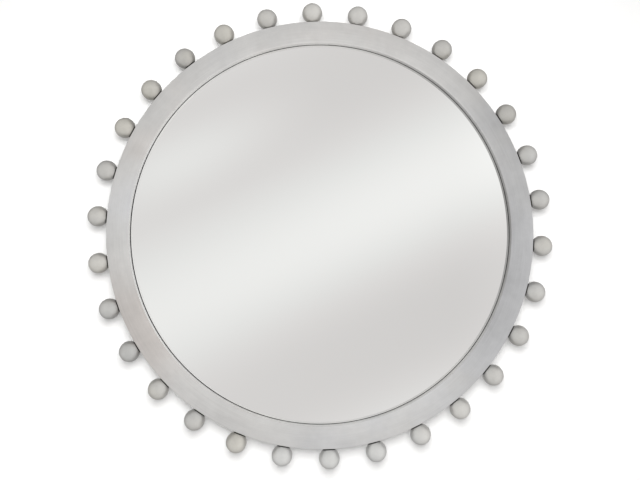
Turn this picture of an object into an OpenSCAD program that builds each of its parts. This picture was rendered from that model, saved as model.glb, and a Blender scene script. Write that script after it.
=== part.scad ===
// Round wall mirror: a satin sheet metal ring frame with balls round its rim.
// The mirror is drawn lying on its back: x to the right, y up the wall, z out from the wall.
// stand() then turns it upright, so that the front looks along -Y and the wall is the plane Y = 0.

/* [Frame shell] */
// Outside diameter of the frame, without its balls
frame_d = 835; // [700:5:1000]
// Width of the flat front face
face_w = 43; // [38:1:80]
// Thickness of the sheet metal
sheet_t = 1.5; // [1:0.1:2.5]
// Rounding of the two front edges of the face
edge_r = 0.8; // [0.2:0.1:0.9]
// Depth of the hollow behind the back board, where the hangers lie
rear_recess = 7; // [6.5:0.5:20]

/* [Core and back board] */
// Thickness of the fibreboard ring inside the shell
core_t = 19; // [17:1:35]
// Thickness of the back board
board_t = 9; // [9:1:15]

/* [Mirror glass] */
// Thickness of the glass
glass_t = 4; // [3:0.5:6]
// How far the glass reaches out behind the sight edge
glass_lap = 9; // [5:0.5:12]
// Thickness of the foam tape behind the glass
tape_t = 1; // [0.5:0.1:2]
// Width of a strip of tape
tape_w = 25; // [10:1:40]
// Distance from the ends of the tape to the edge of the glass
tape_margin = 25; // [5:1:50]
// Distance from one strip of tape to the next
tape_pitch = 110; // [60:5:130]
// Number of strips of tape
tape_count = 5; // [3:2:5]

/* [Balls] */
// Number of balls round the rim
ball_count = 30; // [24:1:34]
// Diameter of a ball
ball_d = 40; // [30:1:44]
// Diameter of the flat that seats a ball on the rim
seat_d = 10; // [8:0.5:16]
// Distance of a ball's middle behind the front face
ball_setback = 8.5; // [8:0.5:10.5]
// Turn of the first ball above the horizontal
ball_turn = 8.2; // [0:0.1:12]

/* [Screws] */
// Diameter of the double-ended screw in each ball
stud_d = 4; // [3:0.5:5]
// Depth that this screw goes into the ball
stud_in_ball = 16; // [8:1:20]
// Depth that this screw goes into the core
stud_in_core = 18; // [8:1:20]
// Number of screws in the back board
board_screw_count = 12; // [6:1:24]
// Depth that a back board screw goes into the core
board_screw_bite = 7; // [4:0.5:7.5]
// Diameter of the wood screws
screw_d = 3.5; // [2.5:0.5:4]
// Diameter of a wood screw's head
head_d = 7; // [6:0.5:8]
// Height of a wood screw's head at its middle
head_h = 2.2; // [1.8:0.1:2.6]
// Height of the straight side of the head
head_side = 0.9; // [0.5:0.1:1.2]
// Length of each slot of the cross in the head
cross_l = 3.8; // [3:0.1:5]
// Width of each slot of the cross
cross_w = 0.9; // [0.6:0.1:1.2]
// Depth of the cross
cross_h = 1.2; // [0.8:0.1:1.6]
// Depth that a hanger screw goes into the back board
hanger_screw_bite = 7.5; // [5:0.5:8]

/* [Hangers] */
// Distance of each hanger from the middle, left and right
hanger_x = 250; // [150:5:260]
// Height of the ring's hinge above the middle
hanger_y = 190; // [100:5:200]
// Thickness of the strap
strap_t = 1.2; // [1:0.1:1.5]
// Width of the strap
strap_w = 14; // [10:1:16]
// Length of the strap below the hinge
strap_l = 52; // [48:1:70]
// Height of the lower screw above the strap's lower end
strap_margin = 8; // [6:1:9]
// Distance between the strap's two screws
strap_pitch = 16; // [12:1:16]
// Diameter of the ring's wire
wire_d = 3; // [2.5:0.1:3.2]
// Width of the ring between the middles of its two legs
ring_w = 22; // [21:1:28]
// Length of the ring's straight legs
ring_leg = 6; // [5:0.5:8]
// Bend radius of the ring's two corners, to the middle of the wire
ring_bend = 2.5; // [2:0.1:3]

/* [Clearances] */
// Gap between the shell and the fibreboard inside it
shell_gap = 0.3; // [0.1:0.1:0.6]
// Gap round the edge of the glass
glass_gap = 0.8; // [0.3:0.1:2]
// Gap round a screw in its hole
screw_gap = 0.1; // [0.05:0.05:0.3]
// Running gap round the ring's wire in the strap's knuckle
hinge_gap = 0.1; // [0.05:0.01:0.1]

/* [Hidden] */
BALLS = [for (i = [1:ball_count]) str("ball_", i < 10 ? "0" : "", i)];
SIDES = ["left", "right"];

$fn = 180;
fine_fn = 48;
past = 1;

// Radii of the frame
frame_r = frame_d / 2;
sight_r = frame_r - face_w;
band_in_r = frame_r - sheet_t;
fill_out_r = band_in_r - shell_gap;
fill_in_r = sight_r + sheet_t + shell_gap;
glass_r = sight_r + glass_lap;
rebate_r = glass_r + glass_gap;

// Heights above the wall
board_z = rear_recess;
core_z = board_z + board_t;
tape_z = core_z;
glass_z = tape_z + tape_t;
glass_top = glass_z + glass_t;
shell_z = core_z + core_t;
front_z = shell_z + sheet_t;

// Balls and their screws
ball_r = ball_d / 2;
ball_step = 360 / ball_count;
seat_to_middle = sqrt(pow(ball_r, 2) - pow(seat_d / 2, 2));
ball_circle_r = frame_r + seat_to_middle;
ball_z = front_z - ball_setback;
stud_hole_d = stud_d + 2 * screw_gap;
stud_end_gap = 1;

// Back board screws, on the middle of the core's rear land
board_screw_circle_r = (rebate_r + fill_out_r) / 2;
board_screw_l = board_t + board_screw_bite;
screw_hole_d = screw_d + 2 * screw_gap;
screw_tip_gap = 0.4;
screw_point_h = screw_d;

// Radius of the dome on a head, from its rise above the straight side
dome_rise = head_h - head_side;
dome_r = (pow(head_d / 2, 2) + pow(dome_rise, 2)) / (2 * dome_rise);

// Hanger: the hinge's height above the board lets the knuckle roll out of the strap
wire_r = wire_d / 2;
knuckle_in_r = wire_r + hinge_gap;
knuckle_out_r = knuckle_in_r + strap_t;
strap_screw_y = [for (i = [0:1]) strap_margin + i * strap_pitch - strap_l];
hanger_screw_l = strap_t + hanger_screw_bite;

module stand() {
    rotate([90, 0, 0]) children();
}

module tube(out_r, in_r, z0, z1) {
    translate([0, 0, z0])
        linear_extrude(z1 - z0)
            difference() {
                circle(out_r);
                circle(in_r);
            }
}

// Each copy starts at the middle of the mirror and faces outwards along x
module round_the_rim(count, turn) {
    for (i = [0:count - 1])
        rotate([0, 0, turn + i * 360 / count]) children();
}

// A round bar along x
module bar_x(r, x0, x1) {
    translate([x0, 0, 0]) rotate([0, 90, 0]) cylinder(r = r, h = x1 - x0, $fn = fine_fn);
}

// The straight holes for the ball screws, from one radius out to another
module stud_holes(r0, r1) {
    round_the_rim(ball_count, ball_turn)
        translate([0, 0, ball_z]) bar_x(stud_hole_d / 2, r0, r1);
}

// Holes up from the board's back for the board screws
module board_screw_holes(z0, z1) {
    round_the_rim(board_screw_count, 0)
        translate([board_screw_circle_r, 0, z0])
            cylinder(d = screw_hole_d, h = z1 - z0, $fn = fine_fn);
}

// Puts a hanger, drawn on a plane with its hinge at the origin, on the back of the board
module on_board(side) {
    translate([(side == "left" ? -1 : 1) * hanger_x, hanger_y, board_z])
        rotate([0, 180, 0]) children();
}

// The sheet's section, with its two front corners rounded
module face_profile() {
    intersection() {
        translate([sight_r, shell_z]) square([face_w, sheet_t]);
        union() {
            translate([sight_r, shell_z]) square([face_w, sheet_t - edge_r]);
            translate([sight_r + edge_r, shell_z]) square([face_w - 2 * edge_r, sheet_t]);
            for (r = [sight_r + edge_r, frame_r - edge_r])
                translate([r, front_z - edge_r]) circle(edge_r, $fn = fine_fn);
        }
    }
}

module face_ring() {
    color("silver") stand() rotate_extrude() face_profile();
}

module outer_band() {
    color("silver") stand() difference() {
        tube(frame_r, band_in_r, 0, shell_z);
        stud_holes(band_in_r - past, frame_r + past);
    }
}

module inner_band() {
    color("silver") stand() tube(sight_r + sheet_t, sight_r, glass_top, shell_z);
}

module frame_core() {
    color("peru") stand() difference() {
        tube(fill_out_r, fill_in_r, core_z, shell_z);
        translate([0, 0, core_z - past])
            cylinder(r = rebate_r, h = glass_top - core_z + past);
        stud_holes(band_in_r - stud_in_core - stud_end_gap, frame_r);
        board_screw_holes(core_z - past, board_z + board_screw_l + screw_tip_gap);
    }
}

module mirror_glass() {
    color("aliceblue") stand()
        translate([0, 0, glass_z]) cylinder(r = glass_r, h = glass_t);
}

// Upright strips, each cut to the length that the round glass leaves it
module mounting_tape() {
    color("dimgray") stand()
        for (i = [0:tape_count - 1]) {
            x = (i - (tape_count - 1) / 2) * tape_pitch;
            half_l = sqrt(pow(glass_r - tape_margin, 2) - pow(abs(x) + tape_w / 2, 2));
            translate([x - tape_w / 2, -half_l, tape_z]) cube([tape_w, 2 * half_l, tape_t]);
        }
}

module back_board() {
    color("peru") stand() difference() {
        translate([0, 0, board_z]) cylinder(r = fill_out_r, h = board_t);
        board_screw_holes(board_z - past, core_z + past);
        for (side = SIDES, y = strap_screw_y)
            on_board(side) translate([0, y, -hanger_screw_bite - screw_tip_gap])
                cylinder(d = screw_hole_d, h = hanger_screw_bite + screw_tip_gap + past,
                         $fn = fine_fn);
    }
}

// A domed wood screw along z, with its head's underside at z = 0 and its shank below
module wood_screw(length) {
    difference() {
        rotate_extrude($fn = fine_fn) {
            intersection() {
                square([head_d / 2, head_h]);
                translate([0, head_h - dome_r]) circle(dome_r);
            }
            polygon([[0, 0], [screw_d / 2, 0], [screw_d / 2, screw_point_h - length], [0, -length]]);
        }
        for (turn = [0, 90])
            rotate([0, 0, turn]) translate([-cross_l / 2, -cross_w / 2, head_h - cross_h])
                cube([cross_l, cross_w, cross_h]);
    }
}

module board_screws() {
    color("gainsboro") stand()
        round_the_rim(board_screw_count, 0)
            translate([board_screw_circle_r, 0, board_z])
                rotate([0, 180, 0]) wood_screw(board_screw_l);
}

module ball_screws() {
    color("gainsboro") stand()
        round_the_rim(ball_count, ball_turn)
            translate([0, 0, ball_z])
                bar_x(stud_d / 2, band_in_r - stud_in_core, frame_r + stud_in_ball);
}

module ball(i) {
    color("lightgray") stand()
        rotate([0, 0, ball_turn + i * ball_step])
            translate([0, 0, ball_z])
                difference() {
                    translate([ball_circle_r, 0, 0]) sphere(ball_r, $fn = fine_fn);
                    translate([frame_r - ball_d, -ball_r, -ball_r]) cube(ball_d);
                    bar_x(stud_hole_d / 2, frame_r - past, frame_r + stud_in_ball + stud_end_gap);
                }
}

module hanger_strap(side) {
    color("lightsteelblue") stand() on_board(side) difference() {
        union() {
            linear_extrude(strap_t) {
                translate([-strap_w / 2, strap_w / 2 - strap_l])
                    square([strap_w, strap_l - strap_w / 2]);
                translate([0, strap_w / 2 - strap_l]) circle(strap_w / 2, $fn = fine_fn);
            }
            translate([0, 0, knuckle_out_r]) bar_x(knuckle_out_r, -strap_w / 2, strap_w / 2);
        }
        translate([0, 0, knuckle_out_r])
            bar_x(knuckle_in_r, -strap_w / 2 - past, strap_w / 2 + past);
        for (y = strap_screw_y)
            translate([0, y, -past]) cylinder(d = screw_hole_d, h = strap_t + 2 * past, $fn = fine_fn);
    }
}

// A bent length of the ring's wire in the board's plane
module wire_bend(bend_r, angle) {
    rotate_extrude(angle = angle, $fn = fine_fn)
        translate([bend_r, 0]) circle(wire_r, $fn = fine_fn);
}

// The ring hangs down from its hinge: a straight bar, two corners, two legs and a half round
module hanger_ring(side) {
    leg_x = ring_w / 2;
    color("lightsteelblue") stand() on_board(side) translate([0, 0, knuckle_out_r]) {
        bar_x(wire_r, ring_bend - leg_x, leg_x - ring_bend);
        for (s = [0, 1]) mirror([s, 0, 0]) {
            translate([leg_x - ring_bend, -ring_bend, 0]) wire_bend(ring_bend, 90);
            translate([leg_x, -ring_bend, 0]) rotate([90, 0, 0])
                cylinder(r = wire_r, h = ring_leg - ring_bend, $fn = fine_fn);
        }
        translate([0, -ring_leg, 0]) rotate([0, 0, 180]) wire_bend(leg_x, 180);
    }
}

module hanger_screws() {
    color("gainsboro") stand()
        for (side = SIDES, y = strap_screw_y)
            on_board(side) translate([0, y, strap_t]) wood_screw(hanger_screw_l);
}

face_ring();
outer_band();
inner_band();
frame_core();
mirror_glass();
mounting_tape();
back_board();
board_screws();
ball_screws();
hanger_strap("left");  // left_hanger_strap
hanger_strap("right");  // right_hanger_strap
hanger_ring("left");  // left_ring
hanger_ring("right");  // right_ring
hanger_screws();
for (i = [0:ball_count - 1])
    ball(i);
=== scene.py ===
# %% [markdown]
# A round wall mirror with a rim of balls
#
# The real object is a round mirror in a flat sheet metal ring. Thirty satin balls stand round its
# outer edge, and on its back two wire rings hang from straps, ready for two wall hooks.
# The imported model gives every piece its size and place. This lesson keeps those places, turns the
# visible pieces again as smooth meshes, and gives each one a finish made only of shader nodes.

import math

import bmesh
import bpy
from mathutils import Matrix, Vector


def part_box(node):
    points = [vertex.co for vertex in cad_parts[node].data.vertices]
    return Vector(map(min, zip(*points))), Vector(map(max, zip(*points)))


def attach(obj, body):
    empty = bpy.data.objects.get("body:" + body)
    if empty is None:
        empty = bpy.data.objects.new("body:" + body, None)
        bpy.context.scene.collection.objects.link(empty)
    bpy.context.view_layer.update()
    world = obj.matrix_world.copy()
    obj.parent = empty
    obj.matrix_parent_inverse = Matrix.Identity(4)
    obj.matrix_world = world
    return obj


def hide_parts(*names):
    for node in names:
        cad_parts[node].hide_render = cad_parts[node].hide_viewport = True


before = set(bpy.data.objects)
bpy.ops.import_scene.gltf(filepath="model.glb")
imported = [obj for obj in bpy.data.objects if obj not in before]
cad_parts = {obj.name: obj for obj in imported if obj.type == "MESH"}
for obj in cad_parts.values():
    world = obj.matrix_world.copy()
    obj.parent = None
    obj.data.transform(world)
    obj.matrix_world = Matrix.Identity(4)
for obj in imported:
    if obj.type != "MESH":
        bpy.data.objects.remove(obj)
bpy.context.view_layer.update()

# %% [markdown]
# Sizes
#
# A round piece is described by its radii and by how far each of its faces stands out from the wall.
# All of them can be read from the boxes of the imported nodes, so a changed frame changes this scene
# with it. The front looks along -Y, so a height above the wall is minus the y coordinate.

# %% Sizes read from the frame
MM = 0.001


def radius_of(node):
    """Half the width of a round piece."""
    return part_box(node)[1].x


def heights_of(node):
    """How far the back and the front of a piece stand out from the wall."""
    low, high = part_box(node)
    return -high.y, -low.y


BAND_BACK, BAND_FRONT = heights_of("outer_band")
SHEET_BACK, SHEET_FRONT = heights_of("face_ring")
GLASS_BACK, GLASS_FRONT = heights_of("mirror_glass")
BOARD_BACK, BOARD_FRONT = heights_of("back_board")
SHEET = SHEET_FRONT - SHEET_BACK
FRAME_R = radius_of("outer_band")
SIGHT_R = radius_of("inner_band") - SHEET
GLASS_R = radius_of("mirror_glass")
BOARD_R = radius_of("back_board")
print(f"frame {2 * FRAME_R:.4f} m across, sight edge {2 * SIGHT_R:.4f} m across")

# %% [markdown]
# The balls' places
#
# A ball touches the frame's edge with a small flat, so its middle is a little less than its own
# radius away from the edge. The balls stand twelve degrees apart, and the first one is turned a
# little above the horizontal.

# %% Places of the balls
BALL_NODES = sorted(
    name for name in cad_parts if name.startswith("ball_") and name[-1].isdigit()
)
BALL_BACK, BALL_FRONT = heights_of(BALL_NODES[0])
BALL_R = (BALL_FRONT - BALL_BACK) / 2
BALL_HEIGHT = (BALL_FRONT + BALL_BACK) / 2
BALL_TURN = math.radians(8.2)
BALL_STEP = math.tau / len(BALL_NODES)
SEAT_R = 5 * MM
SEAT_TO_MIDDLE = math.sqrt(BALL_R**2 - SEAT_R**2)
print(f"{len(BALL_NODES)} balls of {2 * BALL_R / MM:.0f} mm,", end=" ")
print(f"{BALL_HEIGHT / MM:.0f} mm above the wall")

# %% [markdown]
# Shader maths as ordinary sums
#
# A finish is mostly arithmetic on patterns: a patch of tarnish here, a brushed line there. Linking
# Math nodes by hand hides that arithmetic, so a small class wraps the output of a node and turns
# plus, minus, times and power into Math nodes. Every other node comes from one method, add().

# %% A wrapped socket
NOISE_MIDDLE = 0.5


class Wire:
    """The output of a node. Sums on it add Math nodes to the same node tree."""

    def __init__(self, finish, socket):
        self.finish = finish
        self.socket = socket

    def math(self, operation, *terms):
        return self.finish.add("ShaderNodeMath", {"operation": operation}, dict(enumerate(terms)))

    def __add__(self, other):
        return self.math("ADD", self, other)

    def __sub__(self, other):
        return self.math("SUBTRACT", self, other)

    def __rsub__(self, other):
        return self.math("SUBTRACT", other, self)

    def __mul__(self, other):
        return self.math("MULTIPLY", self, other)

    def __truediv__(self, other):
        return self.math("DIVIDE", self, other)

    def __pow__(self, other):
        return self.math("POWER", self, other)

    __radd__ = __add__
    __rmul__ = __mul__

    def cosine(self):
        return self.math("COSINE", self)

    def size(self):
        """The value without its sign."""
        return self.math("ABSOLUTE", self)

    def swing(self, amount):
        """Turns noise into a swing about zero: half the amount up, half of it down."""
        return (self - NOISE_MIDDLE) * amount


print("sums ready")

# %% A maker of nodes


class Finish:
    """A node tree, and the method that adds any node to it."""

    def __init__(self, tree):
        self.tree = tree

    def add(self, kind, settings=None, inputs=None, output=0):
        """Adds one node. Its settings come first, then its sockets take values or wires."""
        node = self.tree.nodes.new(kind)
        for name, value in (settings or {}).items():
            setattr(node, name, value)
        for name, value in (inputs or {}).items():
            self.plug(node.inputs[name], value)
        return Wire(self, node.outputs[output])

    def plug(self, socket, value):
        if isinstance(value, Wire):
            self.tree.links.new(value.socket, socket)
        elif socket.type == "RGBA":
            socket.default_value = (*value, 1)
        else:
            socket.default_value = value

    def place(self):
        """The point that is shaded, in metres from the mirror's middle on the wall."""
        return self.add("ShaderNodeTexCoord", output="Object")

    def parts(self, vector):
        """The x, y and z of a vector."""
        node = self.add("ShaderNodeSeparateXYZ", inputs={"Vector": vector}).socket.node
        return [Wire(self, output) for output in node.outputs]

    def join(self, x, y, z):
        return self.add("ShaderNodeCombineXYZ", inputs={"X": x, "Y": y, "Z": z})

    def dot(self, vector, direction):
        settings = {"operation": "DOT_PRODUCT"}
        return self.add("ShaderNodeVectorMath", settings, {0: vector, 1: direction}, "Value")

    def length(self, vector):
        return self.add("ShaderNodeVectorMath", {"operation": "LENGTH"}, {0: vector}, "Value")

    def noise(self, vector, scale, detail=2.0, roughness=0.5):
        """Soft noise about 0.5. The scale is roughly how many blots fit in a metre."""
        inputs = {"Vector": vector, "Scale": scale, "Detail": detail, "Roughness": roughness}
        return self.add("ShaderNodeTexNoise", inputs=inputs)

    def ease(self, value, start, end, low=0.0, high=1.0):
        """Goes smoothly from low at start to high at end."""
        settings = {"interpolation_type": "SMOOTHSTEP"}
        inputs = {"Value": value, "From Min": start, "From Max": end, "To Min": low, "To Max": high}
        return self.add("ShaderNodeMapRange", settings, inputs)

    def lobe(self, value, middle, reach):
        """A soft hump: one at the middle, nothing beyond its reach."""
        return self.ease((value - middle).size(), reach, 0.0)

    def mix(self, factor, one, other):
        """Blends two colours."""
        inputs = {0: factor, 6: one, 7: other}
        return self.add("ShaderNodeMix", {"data_type": "RGBA"}, inputs, output=2)

    def shade(self, colour, amount):
        """A colour made lighter or darker by a number."""
        inputs = {0: colour, "Scale": amount}
        return self.add("ShaderNodeVectorMath", {"operation": "SCALE"}, inputs)

    def bump(self, height, distance, strength):
        inputs = {"Height": height, "Distance": distance, "Strength": strength}
        return self.add("ShaderNodeBump", inputs=inputs)


print("maker of nodes ready")

# %% A new finish


def new_finish(name):
    """A new material, its finish and its surface shader."""
    material = bpy.data.materials.new(name)
    material.use_nodes = True
    return material, Finish(material.node_tree), material.node_tree.nodes["Principled BSDF"]


def cover(paint, surface, colour, roughness, normal=None):
    """Gives a surface shader its colour, its roughness and its bumps."""
    paint.plug(surface.inputs["Base Color"], colour)
    paint.plug(surface.inputs["Roughness"], roughness)
    if normal:
        paint.plug(surface.inputs["Normal"], normal)


print("finishes can be mixed")

# %% [markdown]
# The camera
#
# The photograph looks at the mirror from close by, a little below its middle and a little to its
# left. From straight in front the recess would look the same all round, so the camera stands where
# the photograph was taken from and is tipped up a little. A lens about as long as the sensor is
# wide gives the same perspective. A small shift of the lens then lifts the picture again, so that
# the rim's top ball nearly touches the upper edge.

# %% The photograph's camera
CAMERA_PLACE = Vector((-0.0192, -1.3000, -0.0208))
PITCH_UP = 3.551
YAW_RIGHT = 0.807
SENSOR_WIDTH = 36
LENS = 36.36
LENS_SHIFT = -0.06
scene = bpy.context.scene
camera = bpy.data.objects.new("camera", bpy.data.cameras.new("camera"))
scene.collection.objects.link(camera)
camera.location = CAMERA_PLACE
camera.rotation_euler = (math.radians(90 + PITCH_UP), 0, -math.radians(YAW_RIGHT))
camera.data.sensor_width = SENSOR_WIDTH
camera.data.lens = LENS
camera.data.shift_y = LENS_SHIFT
scene.camera = camera
scene.view_settings.view_transform = "Standard"
print(f"the camera stands {-CAMERA_PLACE.y:.2f} m from the wall")

# %% [markdown]
# The band of light
#
# Polished and satin metal show the room, so the room matters more than any lamp. The mirror shows
# one broad soft band of light that runs up to the right, with a small glow in it. In a studio it
# comes from a long softbox. Here it is a cosine across the slant, which can be made longer above
# than below, sharper, and stronger towards the right, and it leaves no hard edge in the glass.

# %% A slanting band
BAND_SLANT = math.radians(26)
# The length of the wave below the middle and above it
BAND_BELOW = 0.36
BAND_ABOVE = 0.42
BAND_SWING = 0.110
BAND_SHARPNESS = 1.35
BAND_LEAN_RIGHT = 0.8
# The glow: its middle and its reach, across the slant and along it
GLOW_ACROSS = (0.195, 0.075)
GLOW_ALONG = (-0.12, 0.26)
GLOW_STRENGTH = 0.12


def slanting_band(room, direction, right):
    """How much the band and its glow add in one direction."""
    across = room.dot(direction, (-math.sin(BAND_SLANT), 0, math.cos(BAND_SLANT)))
    along = room.dot(direction, (math.cos(BAND_SLANT), 0, math.sin(BAND_SLANT)))
    above = across.math("MAXIMUM", across, 0)
    turns = across / BAND_BELOW + above * (1 / BAND_ABOVE - 1 / BAND_BELOW)
    wave = ((turns * math.tau).cosine() * 0.5 + 0.5) ** BAND_SHARPNESS
    band = (wave * 2 - 1) * (right * BAND_LEAN_RIGHT + 1) * BAND_SWING
    return band + room.lobe(across, *GLOW_ACROSS) * room.lobe(along, *GLOW_ALONG) * GLOW_STRENGTH


print(f"the band rises {math.degrees(BAND_SLANT):.0f} degrees to the right")

# %% [markdown]
# The room as the metal sees it
#
# A room could be built from white cards, but a world whose brightness depends only on direction is
# simpler and has less noise. It is pale towards the front and darker behind, a little lighter on
# the right, and darker above, below and far out at both sides. Its light is faintly pink, and
# whiter in the band. Matt things get less of it, so that the lamps can draw their shadows, and the
# camera itself sees plain white.

# %% A softly lit room
ROOM_FRONT = 0.80
ROOM_BACK = 0.40
FRONT_FROM = (-0.75, 0.25)
# What each part of the room adds, and between which values of the direction it comes in
ROOM_RIGHT, RIGHT_FROM = 0.08, (0.2, 0.36)
ROOM_SIDES, SIDES_FROM = -0.04, (0.5, 0.95)
ROOM_ABOVE, ABOVE_FROM = -0.10, (0.3, 0.9)
ROOM_BELOW, BELOW_FROM = -0.10, (-0.3, -0.9)
BAND_FROM = (0.3, 0.9)
ROOM_PINK = (1.012, 0.990, 0.980)
ROOM_WHITE = (0.999, 1.0, 0.988)
TINT_FROM = (-0.9 * BAND_SWING, 0.5 * BAND_SWING)
PLAIN_WHITE = (1, 1, 1)
ROOM_ON_MATT = 0.62


def studio_room():
    world = bpy.data.worlds.new("studio")
    world.use_nodes = True
    room = Finish(world.node_tree)
    direction = room.add("ShaderNodeTexCoord", output="Generated")
    right, inwards, up = room.parts(direction)
    front = inwards * -1
    band = slanting_band(room, direction, right)
    sides = room.ease(right, *RIGHT_FROM, 0.0, ROOM_RIGHT)
    sides = sides + room.ease(right.size(), *SIDES_FROM, 0.0, ROOM_SIDES)
    sides = sides + room.ease(up, *ABOVE_FROM, 0.0, ROOM_ABOVE)
    sides = sides + room.ease(up, *BELOW_FROM, 0.0, ROOM_BELOW)
    level = room.ease(front, *FRONT_FROM, ROOM_BACK, ROOM_FRONT) + sides
    level = level + band * room.ease(front, *BAND_FROM)
    matt = room.add("ShaderNodeLightPath", output="Is Diffuse Ray")
    level = level * (1 - matt * (1 - ROOM_ON_MATT))
    seen = room.add("ShaderNodeLightPath", output="Is Camera Ray")
    tinted = room.mix(room.ease(band, *TINT_FROM), ROOM_PINK, ROOM_WHITE)
    background = world.node_tree.nodes["Background"]
    room.plug(background.inputs["Strength"], level * (1 - seen) + seen)
    room.plug(background.inputs["Color"], room.mix(seen, tinted, PLAIN_WHITE))
    return world


scene.world = studio_room()
print("room brightness runs from", ROOM_BACK, "behind to", ROOM_FRONT, "in front")

# %% [markdown]
# The wall and the floor
#
# The mirror hangs on a white wall over a pale floor. The wall only needs to catch soft shadows for
# the camera, so other rays pass it, and from behind it is clear: that way the back of the mirror
# can be looked at too. Stronger lamps would make the wall white, but they would bleach the mirror
# as well. So the camera sees the paint a little brighter than it is, and far away from the mirror
# it sees the paint fade to white.

# %% White paint
WALL_WHITE = (0.86, 0.86, 0.855)
FLOOR_WHITE = (0.84, 0.84, 0.83)
# How much brighter the camera sees the paint near the mirror and far away from it, and from
# which distance to which it changes
WALL_LIFT, WALL_FADE = (0.12, 0.60), (0.6, 3.2)
FLOOR_LIFT, FLOOR_FADE = (0.16, 0.68), (1.7, 5.0)
MOTTLE_SCALE = 3.0
# From which to which noise the paint changes, and how dark and how light it gets
MOTTLE = (0.2, 0.8, 0.99, 1.01)


def stage_paint(name, colour, lift, fade):
    """White paint that the camera sees a little brighter, and that is clear from behind."""
    material, paint, _ = new_finish(name)
    place = paint.place()
    mottle = paint.ease(paint.noise(place, MOTTLE_SCALE), *MOTTLE)
    matt = paint.add("ShaderNodeBsdfDiffuse", inputs={"Color": paint.shade(colour, mottle)})
    haze = paint.shade(PLAIN_WHITE, paint.ease(paint.length(place), *fade, *lift))
    seen = paint.add("ShaderNodeLightPath", output="Is Camera Ray")
    glow = paint.add("ShaderNodeEmission", inputs={"Color": haze, "Strength": seen})
    both = paint.add("ShaderNodeAddShader", inputs={0: matt, 1: glow})
    behind = paint.add("ShaderNodeNewGeometry", output="Backfacing")
    clear = paint.add("ShaderNodeBsdfTransparent")
    whole = paint.add("ShaderNodeMixShader", inputs={0: behind, 1: both, 2: clear})
    paint.plug(material.node_tree.nodes["Material Output"].inputs["Surface"], whole)
    return material


wall_paint = stage_paint("wall_paint", WALL_WHITE, WALL_LIFT, WALL_FADE)
floor_paint = stage_paint("floor_paint", FLOOR_WHITE, FLOOR_LIFT, FLOOR_FADE)
print("two paints for the stage")

# %% Two large planes
WALL_GAP = 0.5 * MM
FLOOR_DROP = 1.4
STAGE_HALF = 8.0


def stage_plane(name, turn, place, material):
    """A flat square that only the camera sees."""
    bm = bmesh.new()
    bmesh.ops.create_grid(bm, x_segments=1, y_segments=1, size=STAGE_HALF)
    bmesh.ops.transform(bm, matrix=Matrix.Translation(place) @ turn, verts=bm.verts)
    mesh = bpy.data.meshes.new(name)
    bm.to_mesh(mesh)
    bm.free()
    mesh.materials.append(material)
    plane = bpy.data.objects.new(name, mesh)
    scene.collection.objects.link(plane)
    plane.visible_diffuse = False
    plane.visible_glossy = False
    plane.visible_transmission = False
    plane.visible_shadow = False


upright = Matrix.Rotation(math.radians(90), 4, "X")
stage_plane("wall", upright, (0, WALL_GAP, STAGE_HALF - FLOOR_DROP), wall_paint)
stage_plane("floor", Matrix.Identity(4), (0, 0, -FLOOR_DROP), floor_paint)
print(f"wall and floor are {2 * STAGE_HALF:.0f} m wide")

# %% [markdown]
# The lamps
#
# The photograph has soft, short shadows that fall down and a little to both sides. A small lamp
# would draw them hard, so a large square one stands in front, just above the camera. It is aimed
# low, which lights the wall evenly behind the mirror. A second one stands behind, for the back.
# The metal shows the room and not the lamps.

# %% Two soft lamps
# Where a lamp stands, where it looks, its width in metres and its power in watts
LAMPS = {
    "front_lamp": (Vector((0.0, -1.30, 0.36)), Vector((-0.03, 0.0, -1.57)), 0.9, 25),
    "rear_lamp": (Vector((1.1, 1.6, 1.2)), Vector((0, 0, 0)), 0.9, 42),
}


def soft_lamp(name, place, aim, width, power):
    """A square lamp that looks at a point."""
    lamp = bpy.data.objects.new(name, bpy.data.lights.new(name, "AREA"))
    scene.collection.objects.link(lamp)
    lamp.data.size = width
    lamp.data.energy = power
    lamp.location = place
    lamp.rotation_euler = (aim - place).to_track_quat("-Z", "Y").to_euler()
    lamp.visible_glossy = False


for name, settings in LAMPS.items():
    soft_lamp(name, *settings)
print("lamps:", ", ".join(LAMPS))

# %% [markdown]
# Patterns that run round the mirror
#
# Brush marks run round the ring, and patches of tarnish lie on one side of it. A picture laid over
# the ring would do, but it holds for one size and one light only. Instead the point that is shaded
# is turned into a direction from the middle and a distance from it. A patch is then a soft spot
# round one direction, and a brush line is noise that is slow along the ring and fast across it.

# %% Direction and distance


def around(paint, place):
    """The direction from the mirror's middle, as x and z, and the distance from it."""
    x, _, z = paint.parts(place)
    distance = (x * x + z * z) ** 0.5
    return x / distance, z / distance, distance


def towards(paint, across, up, direction, half_width):
    """A soft patch of the ring in one direction, in degrees."""
    turn = math.radians(direction)
    facing = across * math.cos(turn) + up * math.sin(turn)
    return paint.ease(facing, math.cos(math.radians(half_width)), 1.0)


def patched(paint, across, up, tone, warmth, patches):
    """Adds the broad patches to a tone and a warmth."""
    for direction, half_width, depth, lean in patches:
        patch = towards(paint, across, up, direction, half_width)
        tone = tone - patch * depth
        warmth = warmth + patch * lean
    return tone, warmth


def leaning(paint, warmth, plain, warm, cool):
    """The plain colour, which leans warm above zero and cool below it."""
    colour = paint.mix(paint.ease(warmth, 0.0, 1.0), plain, warm)
    return paint.mix(paint.ease(warmth, 0.0, -1.0), colour, cool)


def brushed(paint, across, up, distance, along_ring, across_ring):
    """Brush lines round the ring, with a noise scale for each way."""
    stretched = paint.join(across * along_ring, up * along_ring, distance * across_ring)
    return paint.noise(stretched, 1.0)


print("patterns round the mirror ready")

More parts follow.
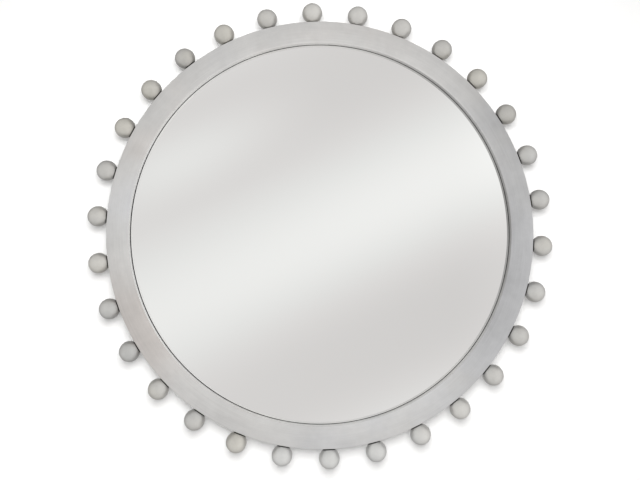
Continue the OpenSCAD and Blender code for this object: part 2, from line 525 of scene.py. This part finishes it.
# %% [markdown]
# Satin steel
#
# The frame is sheet steel with a satin silver finish. Close up it has fine brush lines, a cloudy
# bloom where it was rubbed by hand, and broad patches that are darker or lighter and lean warm or
# cool. A plain metal with one colour would look like plastic foil here, so each of these is a
# pattern of its own. The flat face also gets painted shade, lighter at its sight edge and darker
# at its outer edge, and a painted highlight along its sight edge. The recess gets the same finish
# with other patches: painted shade at the upper right and painted light at the lower left.

# %% Colours and patches of the steel
STEEL = (0.742, 0.738, 0.730)
STEEL_WARM = (0.742, 0.706, 0.682)
STEEL_COOL = (0.706, 0.712, 0.728)
FACE_W = FRAME_R - SIGHT_R
# Broad patches on the face: direction and half width in degrees, how much darker, and how warm
STEEL_PATCHES = (
    (3, 52, 0.13, -0.7),
    (35, 20, 0.10, 0.2),
    (14, 12, 0.03, 0.0),
    (150, 26, 0.03, 0.2),
    (178, 22, -0.06, -0.9),
    (198, 26, 0.07, 0.9),
    (239, 14, -0.02, 0.3),
    (292, 26, -0.04, -0.2),
    (312, 18, 0.0, -0.5),
    (332, 32, 0.08, -0.3),
)
# Painted shade in the recess, most at the upper right, and painted light at the lower left
RECESS_SHADE_PATCHES = (
    (22, 66, 0.45, 0.0),
    (200, 105, -0.34, 0.0),
)
print(len(STEEL_PATCHES), "patches on the face,", len(RECESS_SHADE_PATCHES), "in the recess")

# %% Satin steel
# Noise scales, and how much each pattern changes the tone
CLOUD_SCALE, CLOUD_TONE = 13.0, 0.27
BLOOM_SCALE, BLOOM_TONE = 55.0, 0.15
GRAIN_SCALES, GRAIN_TONE = (4.0, 1500), 0.18
STREAK_SCALES, STREAK_TONE = (6.0, 160), 0.09
STEEL_WARMTH_SCALE, STEEL_WARMTH = 6.0, 2.4
# Painted shade across the face: its inner edge is lighter and its outer edge darker, but not on the
# right
FACE_SHADE = -0.10
FACE_SHADE_RIGHT, FACE_SHADE_PATCH = 0.19, (-12, 45)
# A painted highlight along the sight edge, most at the top
EDGE_HIGHLIGHT, HIGHLIGHT_PATCH = 0.10, (90, 95)
HIGHLIGHT_REACH = 4 * MM
SATIN, CLOUD_SATIN, GRAIN_SATIN = 0.40, 0.16, 0.18
CLOUD_HEIGHT = 0.5
BRUSH_DEPTH, BRUSH_STRENGTH = 0.03 * MM, 0.35


def satin_steel(name, patches):
    material, paint, surface = new_finish(name)
    place = paint.place()
    across, up, distance = around(paint, place)
    cloud = paint.noise(place, CLOUD_SCALE, detail=4.0, roughness=0.55)
    bloom = paint.noise(place, BLOOM_SCALE, detail=3.0, roughness=0.6)
    grain = brushed(paint, across, up, distance, *GRAIN_SCALES)
    streak = brushed(paint, across, up, distance, *STREAK_SCALES)
    tone = 1.0 + cloud.swing(CLOUD_TONE) + bloom.swing(BLOOM_TONE)
    tone = tone + grain.swing(GRAIN_TONE) + streak.swing(STREAK_TONE)
    warmth = paint.noise(place, STEEL_WARMTH_SCALE, detail=3.0).swing(STEEL_WARMTH)
    tone, warmth = patched(paint, across, up, tone, warmth, patches)
    # Painted shade across the face, lighter at the sight edge and darker at the outer edge
    across_face = (distance - SIGHT_R) / FACE_W - 0.5
    tone = tone + across_face * (towards(paint, across, up, *FACE_SHADE_PATCH) * FACE_SHADE_RIGHT + FACE_SHADE)
    # Painted highlight along the sight edge
    highlight = paint.ease(distance - SIGHT_R, HIGHLIGHT_REACH, 0.0)
    tone = tone + towards(paint, across, up, *HIGHLIGHT_PATCH) * highlight * EDGE_HIGHLIGHT
    colour = paint.shade(leaning(paint, warmth, STEEL, STEEL_WARM, STEEL_COOL), tone)
    roughness = SATIN + cloud.swing(CLOUD_SATIN) + grain.swing(GRAIN_SATIN)
    brushing = paint.bump(grain + cloud * CLOUD_HEIGHT, BRUSH_DEPTH, BRUSH_STRENGTH)
    cover(paint, surface, colour, roughness, brushing)
    surface.inputs["Metallic"].default_value = 1.0
    return material


steel = satin_steel("satin_steel", STEEL_PATCHES)
# The recess finish is satin steel with painted shade and painted light in its patches
shaded_recess_steel = satin_steel("shaded_recess_steel", RECESS_SHADE_PATCHES)
print("satin steel:", len(steel.node_tree.nodes), "nodes")

# %% [markdown]
# Silvered balls
#
# The balls have the same silver colour, a little duller and blotchy, as thin leaf or lacquer over
# turned wood looks. Each one could have a material of its own. Slow noise over the whole mirror
# does the same with one, because it gives neighbouring balls different tones. Where a ball meets
# the frame, painted shade darkens the narrow joint. The shade reaches further out deep behind the
# ball's front, and less far at the top of the mirror.

# %% Colours and patches of the balls
BALL_SILVER = (0.708, 0.700, 0.676)
BALL_WARM = (0.715, 0.698, 0.645)
BALL_COOL = (0.694, 0.698, 0.688)
# The balls are lighter at the bottom and darker at the upper right
BALL_PATCHES = (
    (280, 46, -0.13, -0.5),
    (75, 30, -0.04, 0.2),
    (40, 26, 0.11, 0.4),
    (145, 40, 0.07, 0.5),
    (212, 22, 0.04, -0.2),
)
# Painted shade in the narrow joint between a ball and the frame
JOINT_SHADE = (0.045, 0.043, 0.040)
# How far the shade reaches in front and behind, and how far ahead of the ball's middle that is
JOINT_FRONT, FRONT_AHEAD = 2.4 * MM, 9 * MM
JOINT_BEHIND, BEHIND_AHEAD = 5.0 * MM, 2 * MM
JOINT_TOP, TOP_PATCH = 1.4 * MM, (88, 42)
JOINT_RAGGED = 0.8 * MM
JOINT_SOLID = 0.4
print(len(BALL_PATCHES), "patches on the rim of balls")

# %% Silvered balls
BALL_TONE = 1.03
# Noise scales, and how much each pattern changes the tone
DRIFT_SCALE, DRIFT_TONE = 11.9, 0.32
BLOTCH_SCALE, BLOTCH_TONE = 95.0, 0.24
SPECK_SCALE, SPECK_TONE = 900.0, 0.06
BALL_WARMTH_SCALE, BALL_WARMTH = 9.0, 4.0
BALL_SATIN, BLOTCH_SATIN, JOINT_SATIN = 0.44, 0.25, 0.2
BLOTCH_HEIGHT = 0.6
LEAF_DEPTH, LEAF_STRENGTH = 0.06 * MM, 0.4


def painted_joint_shade(paint, place, across, up, distance, blotch):
    """Painted shade where a ball meets the frame."""
    depth = paint.parts(place)[1]
    front, behind = -BALL_HEIGHT - FRONT_AHEAD, -BALL_HEIGHT - BEHIND_AHEAD
    reach = paint.ease(depth, front, behind, JOINT_FRONT, JOINT_BEHIND)
    gap = distance - FRAME_R + blotch.swing(JOINT_RAGGED)
    gap = gap + towards(paint, across, up, *TOP_PATCH) * JOINT_TOP
    return paint.ease(gap, reach, reach * JOINT_SOLID)


def silvered():
    material, paint, surface = new_finish("silver_ball")
    place = paint.place()
    across, up, distance = around(paint, place)
    drift = paint.noise(place, DRIFT_SCALE, detail=1.0)
    blotch = paint.noise(place, BLOTCH_SCALE, detail=4.0, roughness=0.6)
    speck = paint.noise(place, SPECK_SCALE, roughness=0.6)
    tone = BALL_TONE + drift.swing(DRIFT_TONE) + blotch.swing(BLOTCH_TONE) + speck.swing(SPECK_TONE)
    warmth = paint.noise(place, BALL_WARMTH_SCALE, detail=1.0).swing(BALL_WARMTH)
    tone, warmth = patched(paint, across, up, tone, warmth, BALL_PATCHES)
    colour = paint.shade(leaning(paint, warmth, BALL_SILVER, BALL_WARM, BALL_COOL), tone)
    # Painted shade in the joint
    joint = painted_joint_shade(paint, place, across, up, distance, blotch)
    roughness = BALL_SATIN + blotch.swing(BLOTCH_SATIN) + joint * JOINT_SATIN
    leaf = paint.bump(blotch * BLOTCH_HEIGHT + speck, LEAF_DEPTH, LEAF_STRENGTH)
    cover(paint, surface, paint.mix(joint, colour, JOINT_SHADE), roughness, leaf)
    surface.inputs["Metallic"].default_value = 1.0
    return material


silver = silvered()
print("silvered balls:", len(silver.node_tree.nodes), "nodes")

# %% [markdown]
# Silvered glass
#
# The mirror layer lies behind four millimetres of glass. Looking in from the front, the eye sees
# past the frame's edge into that thickness as a thin dark line all round, a little wider on the
# left. A mirror that light doesn't have to enter renders cleanly, so the layer is drawn on the
# glass's front face, with the dark line as a ring in its colour. The cut edge is green glass and
# the back is grey paint.

# %% Silvered glass
MIRROR_SILVER = (0.93, 0.932, 0.925)
# The dark line is painted shade: the shaded inside of the glass's thickness, seen past the frame
EDGE_SHADE = (0.02, 0.021, 0.021)
EDGE_LINE = 1.1 * MM
EDGE_LINE_LEFT, LEFT_PATCH = 0.55 * MM, (192, 75)
EDGE_SOLID = 0.6
HAZE_SCALE = 30.0
POLISH, POLISH_HAZE, POLISH_EDGE = 0.004, 0.012, 0.3


def mirror_face():
    material, paint, surface = new_finish("mirror_face")
    place = paint.place()
    across, up, distance = around(paint, place)
    reach = towards(paint, across, up, *LEFT_PATCH) * EDGE_LINE_LEFT + EDGE_LINE
    line = paint.ease(SIGHT_R - distance, reach, reach * EDGE_SOLID)
    haze = paint.noise(place, HAZE_SCALE, detail=3.0)
    roughness = POLISH + haze * POLISH_HAZE + line * POLISH_EDGE
    cover(paint, surface, paint.mix(line, MIRROR_SILVER, EDGE_SHADE), roughness)
    surface.inputs["Metallic"].default_value = 1.0
    return material


mirror_coat = mirror_face()
print(f"the dark line is {EDGE_LINE / MM:.1f} mm wide")

# %% The glass's edge and back
GREEN_GLASS = ((0.08, 0.22, 0.17), (0.18, 0.36, 0.29))
RIPPLE_SCALE = 260.0
EDGE_SATIN, RIPPLE_SATIN = 0.12, 0.2
EDGE_COAT = 0.5
GREY_PAINT = ((0.16, 0.17, 0.18), (0.24, 0.25, 0.26))
ROLLER_SCALE = 180.0
PAINT_SATIN, ROLLER_SATIN = 0.5, 0.2
ROLLER_DEPTH, ROLLER_STRENGTH = 0.05 * MM, 0.5


def glass_edge():
    material, paint, surface = new_finish("glass_edge")
    ripple = paint.noise(paint.place(), RIPPLE_SCALE)
    roughness = EDGE_SATIN + ripple * RIPPLE_SATIN
    cover(paint, surface, paint.mix(ripple, *GREEN_GLASS), roughness)
    surface.inputs["Coat Weight"].default_value = EDGE_COAT
    return material


def backing_paint():
    material, paint, surface = new_finish("backing_paint")
    roll = paint.noise(paint.place(), ROLLER_SCALE, detail=3.0)
    roughness = PAINT_SATIN + roll * ROLLER_SATIN
    ridges = paint.bump(roll, ROLLER_DEPTH, ROLLER_STRENGTH)
    cover(paint, surface, paint.mix(roll, *GREY_PAINT), roughness, ridges)
    return material


green_edge, grey_back = glass_edge(), backing_paint()
print("two more finishes for the glass")

# %% [markdown]
# Fibreboard, foam tape and zinc
#
# The back panel and the hidden core are medium density fibreboard: pale brown, smooth, with tiny
# lighter and darker fibres. The tape is dark grey foam with fine cells. The small hardware is
# bright zinc plate, which is slightly blue and has a faint crystalline mottle. Noise gives the
# fibres and Voronoi cells give the foam and the crystals, because those have walls between them.

# %% Fibreboard
BOARD_BROWN = ((0.50, 0.36, 0.22), (0.56, 0.42, 0.275))
FIBRE_PALE = (0.72, 0.59, 0.43)
FLECK_DARK = (0.25, 0.15, 0.08)
BOARD_DRIFT_SCALE, FIBRE_SCALE, FLECK_SCALE = 5.0, 1500.0, 420.0
FIBRE_STRETCH = (1, 1, 0.35)
# From which to which noise a fibre or a fleck shows, and how much it covers
FIBRE_SHOWS = (0.45, 0.75, 0.0, 0.55)
FLECK_SHOWS = (0.62, 0.75, 0.0, 0.5)
BOARD_SATIN, FIBRE_SATIN = 0.62, 0.2
FLECK_HEIGHT = 0.5
BOARD_DEPTH, BOARD_STRENGTH = 0.08 * MM, 0.5


def fibreboard():
    material, paint, surface = new_finish("fibreboard")
    place = paint.place()
    stretched = paint.add("ShaderNodeMapping", inputs={"Vector": place, "Scale": FIBRE_STRETCH})
    drift = paint.noise(place, BOARD_DRIFT_SCALE, detail=3.0)
    fibre = paint.noise(stretched, FIBRE_SCALE, detail=3.0, roughness=0.7)
    fleck = paint.noise(place, FLECK_SCALE, roughness=0.6)
    colour = paint.mix(drift, *BOARD_BROWN)
    colour = paint.mix(paint.ease(fibre, *FIBRE_SHOWS), colour, FIBRE_PALE)
    colour = paint.mix(paint.ease(fleck, *FLECK_SHOWS), colour, FLECK_DARK)
    nap = paint.bump(fibre + fleck * FLECK_HEIGHT, BOARD_DEPTH, BOARD_STRENGTH)
    cover(paint, surface, colour, BOARD_SATIN + fibre * FIBRE_SATIN, nap)
    return material


board = fibreboard()
print("fibreboard:", len(board.node_tree.nodes), "nodes")

# %% Foam tape and zinc
FOAM_GREY = ((0.030, 0.030, 0.032), (0.085, 0.085, 0.088))
FOAM_CELLS, CELL_WALL = 1400.0, 0.7
FOAM_SATIN = 0.9
FOAM_DEPTH, FOAM_STRENGTH = 0.2 * MM, 0.7
ZINC_GREY = ((0.72, 0.74, 0.76), (0.88, 0.885, 0.885))
ZINC_CRYSTALS, CRYSTAL_TINT = 700.0, 0.07
ZINC_MOTTLE_SCALE = 300.0
ZINC_SATIN, MOTTLE_SATIN = 0.26, 0.18
ZINC_DEPTH, ZINC_STRENGTH = 0.04 * MM, 0.4


def foam_tape():
    material, paint, surface = new_finish("foam_tape")
    inputs = {"Vector": paint.place(), "Scale": FOAM_CELLS}
    cells = paint.add("ShaderNodeTexVoronoi", inputs=inputs)
    grey = paint.mix(paint.ease(cells, 0.0, CELL_WALL), *FOAM_GREY)
    cover(paint, surface, grey, FOAM_SATIN, paint.bump(cells, FOAM_DEPTH, FOAM_STRENGTH))
    return material


def zinc_plate():
    material, paint, surface = new_finish("zinc_hardware")
    place = paint.place()
    inputs = {"Vector": place, "Scale": ZINC_CRYSTALS}
    crystal = paint.add("ShaderNodeTexVoronoi", inputs=inputs, output="Color")
    mottle = paint.noise(place, ZINC_MOTTLE_SCALE, detail=3.0, roughness=0.6)
    colour = paint.mix(CRYSTAL_TINT, paint.mix(mottle, *ZINC_GREY), crystal)
    roughness = ZINC_SATIN + mottle * MOTTLE_SATIN
    cover(paint, surface, colour, roughness, paint.bump(mottle, ZINC_DEPTH, ZINC_STRENGTH))
    surface.inputs["Metallic"].default_value = 1.0
    return material


tape, zinc = foam_tape(), zinc_plate()
print("zinc:", len(zinc.node_tree.nodes), "nodes")

# %% [markdown]
# From a bmesh to a finished piece
#
# Each new piece goes through the same last steps: its faces are turned outwards, its mesh is
# shaded smooth, it gets its finishes, it is told which body it rides on, and the imported node
# that it stands for is hidden. Smooth shading tilts the normals beside a bevel, and on a mirror
# that bends the whole reflection. So each piece says how many degrees an edge may turn and still
# look smooth: few on a flat plate, more on a ball and most on thin wire. No real edge is
# perfectly sharp, so the edges of most pieces get a narrow bevel before that.

# %% Finishing a piece
FLAT = 4
BEADY = 15
WIRY = 40


def finish_piece(name, bm, finishes, node, crisp, body="mirror"):
    """Shades smooth over edges flatter than crisp degrees."""
    bmesh.ops.recalc_face_normals(bm, faces=bm.faces)
    open_edges = sum(not edge.is_manifold for edge in bm.edges)
    mesh = bpy.data.meshes.new(name)
    bm.to_mesh(mesh)
    bm.free()
    mesh.shade_smooth()
    mesh.set_sharp_from_angle(angle=math.radians(crisp))
    for finish in finishes:
        mesh.materials.append(finish)
    piece = bpy.data.objects.new(name, mesh)
    scene.collection.objects.link(piece)
    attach(piece, body)
    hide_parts(node)
    print(f"{name}: {len(mesh.polygons)} faces, {open_edges} open edges")


print(f"smooth up to {FLAT} degrees on plates, {BEADY} on balls and {WIRY} on wire")

# %% Softened edges
SHARP = math.radians(50)
SOFT_STEPS = 2


def bevel_edges(bm, edges, width, segments=SOFT_STEPS):
    bmesh.ops.bevel(
        bm, geom=edges, offset=width, offset_type="OFFSET", segments=segments,
        profile=0.5, affect="EDGES", material=-1,
    )


def soften(bm, width):
    """Bevels every sharp edge."""
    edges = [edge for edge in bm.edges if edge.is_manifold and edge.calc_face_angle() > SHARP]
    bevel_edges(bm, edges, width)


print(f"edges over {math.degrees(SHARP):.0f} degrees are softened")

# %% [markdown]
# The three sheet metal rings
#
# The face is a flat ring with two softened front edges. Behind its outer edge stands a deep rolled
# band, and behind its sight edge a shallow one. All three are turned shapes: a few points give the
# section, a spin takes it once round the mirror's axis, and a bevel softens the edges afterwards.

# %% Turned rings
RING_STEPS = 300
FACE_ROUNDING, FACE_STEPS = 0.7 * MM, 4
BAND_ROUNDING = 0.25 * MM
# Points nearer to each other than this count as one
CLOSE = 0.01 * MM


def turned_ring(inner, outer, back, front):
    """A square section between two radii and two heights, spun round the mirror's axis."""
    bm = bmesh.new()
    section = [(inner, back), (outer, back), (outer, front), (inner, front)]
    corners = [bm.verts.new((radius, -height, 0)) for radius, height in section]
    sides = [bm.edges.new((corners[i - 1], corners[i])) for i in range(len(corners))]
    bmesh.ops.spin(
        bm, geom=corners + sides, cent=(0, 0, 0), axis=(0, 1, 0), angle=math.tau,
        steps=RING_STEPS, use_merge=True,
    )
    return bm


def edges_at(bm, height):
    """The edges that lie at one height above the wall and run round the ring."""
    level = [edge for edge in bm.edges if all(abs(v.co.y + height) < CLOSE for v in edge.verts)]
    return [e for e in level if abs(e.verts[0].co.xz.length - e.verts[1].co.xz.length) < CLOSE]


face = turned_ring(SIGHT_R, FRAME_R, SHEET_BACK, SHEET_FRONT)
bevel_edges(face, edges_at(face, SHEET_FRONT), FACE_ROUNDING, FACE_STEPS)
finish_piece("satin_face", face, [steel], "face_ring", FLAT)

rim = turned_ring(FRAME_R - SHEET, FRAME_R, BAND_BACK, BAND_FRONT)
bevel_edges(rim, edges_at(rim, BAND_BACK) + edges_at(rim, BAND_FRONT), BAND_ROUNDING)
finish_piece("rim_band", rim, [steel], "outer_band", FLAT)

recess = turned_ring(SIGHT_R, SIGHT_R + SHEET, GLASS_FRONT, SHEET_BACK)
bevel_edges(recess, edges_at(recess, GLASS_FRONT), BAND_ROUNDING)
finish_piece("recess_band", recess, [shaded_recess_steel], "inner_band", FLAT)

# %% [markdown]
# The glass
#
# A disc of four millimetre glass with polished corners. It is one filled circle, extruded to its
# thickness. Three materials sit on its three kinds of face: the mirror in front, the green cut
# edge and the painted back.

# %% The glass disc
DISC_STEPS = 256
GLASS_ROUNDING = 0.5 * MM
# How far a face's normal reaches to the front or back before it counts as facing there
STRAIGHT = 0.99


def verts_of(made):
    """The vertices among the things that an operator made."""
    return [item for item in made if isinstance(item, bmesh.types.BMVert)]


def disc(radius, back, front):
    """A flat round plate that faces the front."""
    bm = bmesh.new()
    bmesh.ops.create_circle(bm, cap_ends=True, segments=DISC_STEPS, radius=radius)
    turn = Matrix.Rotation(math.radians(90), 3, "X")
    bmesh.ops.rotate(bm, verts=bm.verts, cent=(0, 0, 0), matrix=turn)
    bmesh.ops.translate(bm, verts=bm.verts, vec=(0, -back, 0))
    made = bmesh.ops.extrude_face_region(bm, geom=bm.faces[:])
    bmesh.ops.translate(bm, verts=verts_of(made["geom"]), vec=(0, back - front, 0))
    return bm


pane = disc(GLASS_R, GLASS_BACK, GLASS_FRONT)
soften(pane, GLASS_ROUNDING)
pane.faces.ensure_lookup_table()
bmesh.ops.recalc_face_normals(pane, faces=pane.faces)
coats = [mirror_coat, green_edge, grey_back]
for side in pane.faces:
    front, back = side.normal.y < -STRAIGHT, side.normal.y > STRAIGHT
    coat = mirror_coat if front else grey_back if back else green_edge
    side.material_index = coats.index(coat)
finish_piece("silvered_pane", pane, coats, "mirror_glass", FLAT)

# %% [markdown]
# The balls
#
# A ball starts as a sphere. A plane cuts off the cap that would sink into the frame, the hole is
# filled with a flat, and the edge of the flat is broken with a small bevel. Then the ball is
# turned to point away from the mirror's middle and moved to its place on the rim.

# %% One ball, thirty times
BALL_SEGMENTS, BALL_RINGS = 48, 30
BALL_EDGE = 0.3 * MM


def rim_ball(angle):
    bm = bmesh.new()
    bmesh.ops.create_uvsphere(bm, u_segments=BALL_SEGMENTS, v_segments=BALL_RINGS, radius=BALL_R)
    everything = bm.verts[:] + bm.edges[:] + bm.faces[:]
    bmesh.ops.bisect_plane(
        bm, geom=everything, plane_co=(0, 0, -SEAT_TO_MIDDLE), plane_no=(0, 0, -1),
        clear_outer=True,
    )
    cut = [edge for edge in bm.edges if edge.is_boundary]
    bmesh.ops.edgeloop_fill(bm, edges=cut)
    bevel_edges(bm, cut, BALL_EDGE)
    outwards = Vector((math.cos(angle), 0, math.sin(angle)))
    turn = Matrix.Rotation(math.pi / 2 - angle, 4, "Y")
    place = outwards * (FRAME_R + SEAT_TO_MIDDLE) + Vector((0, -BALL_HEIGHT, 0))
    bmesh.ops.transform(bm, matrix=Matrix.Translation(place) @ turn, verts=bm.verts)
    return bm


for index, node in enumerate(BALL_NODES):
    ball = rim_ball(BALL_TURN + index * BALL_STEP)
    finish_piece(node.replace("ball_", "rim_ball_"), ball, [silver], node, BEADY)

# %% [markdown]
# The back panel
#
# A nine millimetre fibreboard disc closes the back, seven millimetres in front of the wall, so the
# hangers have room behind it. Its corners are only sanded, so the bevel is small.

# %% The back panel
PANEL_ROUNDING = 0.4 * MM
panel = disc(BOARD_R, BOARD_BACK, BOARD_FRONT)
soften(panel, PANEL_ROUNDING)
finish_piece("rear_panel", panel, [board], "back_board", FLAT)

# %% [markdown]
# The hanger straps
#
# Each strap is a flat plate with a round lower end. Its upper end is rolled into a knuckle that
# holds the ring's wire. The plate is an outline that is filled and extruded; then the face of its
# upper end is spun nearly once round the wire, which is just how the strap is rolled at the works.

# %% Straps with a rolled knuckle
STRAP = 1.2 * MM
STRAP_ROUNDING = 0.22 * MM
STRAP_END_STEPS = 20
ROLL, ROLL_STEPS = math.radians(300), 26


def hanger_strap(node):
    low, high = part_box(node)
    middle, half = (low.x + high.x) / 2, (high.x - low.x) / 2
    knuckle_r = (high.y - low.y) / 2
    hinge = Vector((middle, (low.y + high.y) / 2, high.z - knuckle_r))
    bm = bmesh.new()
    end_z = low.z + half
    first = bm.verts.new((middle + half, low.y, end_z))
    bmesh.ops.spin(
        bm, geom=[first], cent=(middle, 0, end_z), axis=(0, 1, 0), angle=math.pi,
        steps=STRAP_END_STEPS,
    )
    bm.verts.ensure_lookup_table()
    last = min(bm.verts, key=lambda v: (v.co - Vector((middle - half, low.y, end_z))).length)
    top = [bm.verts.new((middle + side * half, low.y, hinge.z)) for side in (1, -1)]
    for one, other in ((first, top[0]), (top[0], top[1]), (top[1], last)):
        bm.edges.new((one, other))
    bmesh.ops.edgeloop_fill(bm, edges=bm.edges[:])
    made = bmesh.ops.extrude_face_region(bm, geom=bm.faces[:])
    bmesh.ops.translate(bm, verts=verts_of(made["geom"]), vec=(0, STRAP, 0))
    bmesh.ops.recalc_face_normals(bm, faces=bm.faces)
    end = max(bm.faces, key=lambda f: f.calc_center_median().z)
    bmesh.ops.spin(
        bm, geom=[end, *end.edges, *end.verts], cent=hinge, axis=(1, 0, 0), angle=-ROLL,
        steps=ROLL_STEPS,
    )
    bmesh.ops.remove_doubles(bm, verts=bm.verts, dist=CLOSE)
    bmesh.ops.recalc_face_normals(bm, faces=bm.faces)
    soften(bm, STRAP_ROUNDING)
    return bm


for side in ("left", "right"):
    node = f"{side}_hanger_strap"
    finish_piece(f"{side}_strap_plate", hanger_strap(node), [zinc], node, BEADY)

# %% [markdown]
# The hanging rings
#
# A ring is three millimetre wire, bent like a letter D: a straight bar in the knuckle, two tight
# corners, two short legs and a half circle. A small circle of edges travels along that path. Each
# straight is an extrusion, and each bend is a spin about the middle of the bend.

# %% Wire rings
BEND, BEND_STEPS = 2.5 * MM, 8
BOW_STEPS = 32
WIRE_SIDES = 20


def new_loop(bm, verts):
    """The edges between these vertices."""
    chosen = set(verts)
    return [edge for edge in bm.edges if set(edge.verts) <= chosen]


def straight(bm, loop, step):
    made = bmesh.ops.extrude_edge_only(bm, edges=loop)
    verts = verts_of(made["geom"])
    bmesh.ops.translate(bm, verts=verts, vec=step)
    return new_loop(bm, verts)


def bend(bm, loop, centre, angle, steps):
    verts = {vert for edge in loop for vert in edge.verts}
    made = bmesh.ops.spin(
        bm, geom=loop + list(verts), cent=centre, axis=(0, 1, 0), angle=angle, steps=steps,
    )
    return new_loop(bm, verts_of(made["geom_last"]))


def wire_ring(node):
    low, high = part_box(node)
    wire_r = (high.y - low.y) / 2
    leg_x = (high.x - low.x) / 2 - wire_r
    hinge = Vector(((low.x + high.x) / 2, (low.y + high.y) / 2, high.z - wire_r))
    leg = hinge.z - low.z - leg_x - wire_r
    bm = bmesh.new()
    bmesh.ops.create_circle(bm, segments=WIRE_SIDES, radius=wire_r)
    turn = Matrix.Rotation(math.radians(90), 4, "Y")
    bmesh.ops.transform(bm, matrix=Matrix.Translation(hinge) @ turn, verts=bm.verts)
    loop = straight(bm, bm.edges[:], (leg_x - BEND, 0, 0))
    loop = bend(bm, loop, hinge + Vector((leg_x - BEND, 0, -BEND)), math.pi / 2, BEND_STEPS)
    loop = straight(bm, loop, (0, 0, BEND - leg))
    loop = bend(bm, loop, hinge - Vector((0, 0, leg)), math.pi, BOW_STEPS)
    loop = straight(bm, loop, (0, 0, leg - BEND))
    loop = bend(bm, loop, hinge + Vector((BEND - leg_x, 0, -BEND)), math.pi / 2, BEND_STEPS)
    straight(bm, loop, (leg_x - BEND, 0, 0))
    bmesh.ops.remove_doubles(bm, verts=bm.verts, dist=CLOSE)
    return bm


for side in ("left", "right"):
    node = f"{side}_ring"
    finish_piece(f"{side}_wire_ring", wire_ring(node), [zinc], node, WIRY, node)

# %% [markdown]
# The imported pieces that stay
#
# The core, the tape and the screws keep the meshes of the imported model, because their shapes are
# already right. They only get their finishes.

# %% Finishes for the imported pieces
KEPT = {
    "frame_core": board,
    "mounting_tape": tape,
    "ball_screws": zinc,
    "board_screws": zinc,
    "hanger_screws": zinc,
}
for node, finish in KEPT.items():
    for material_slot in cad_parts[node].material_slots:
        material_slot.material = finish
print("finishes on", ", ".join(KEPT))
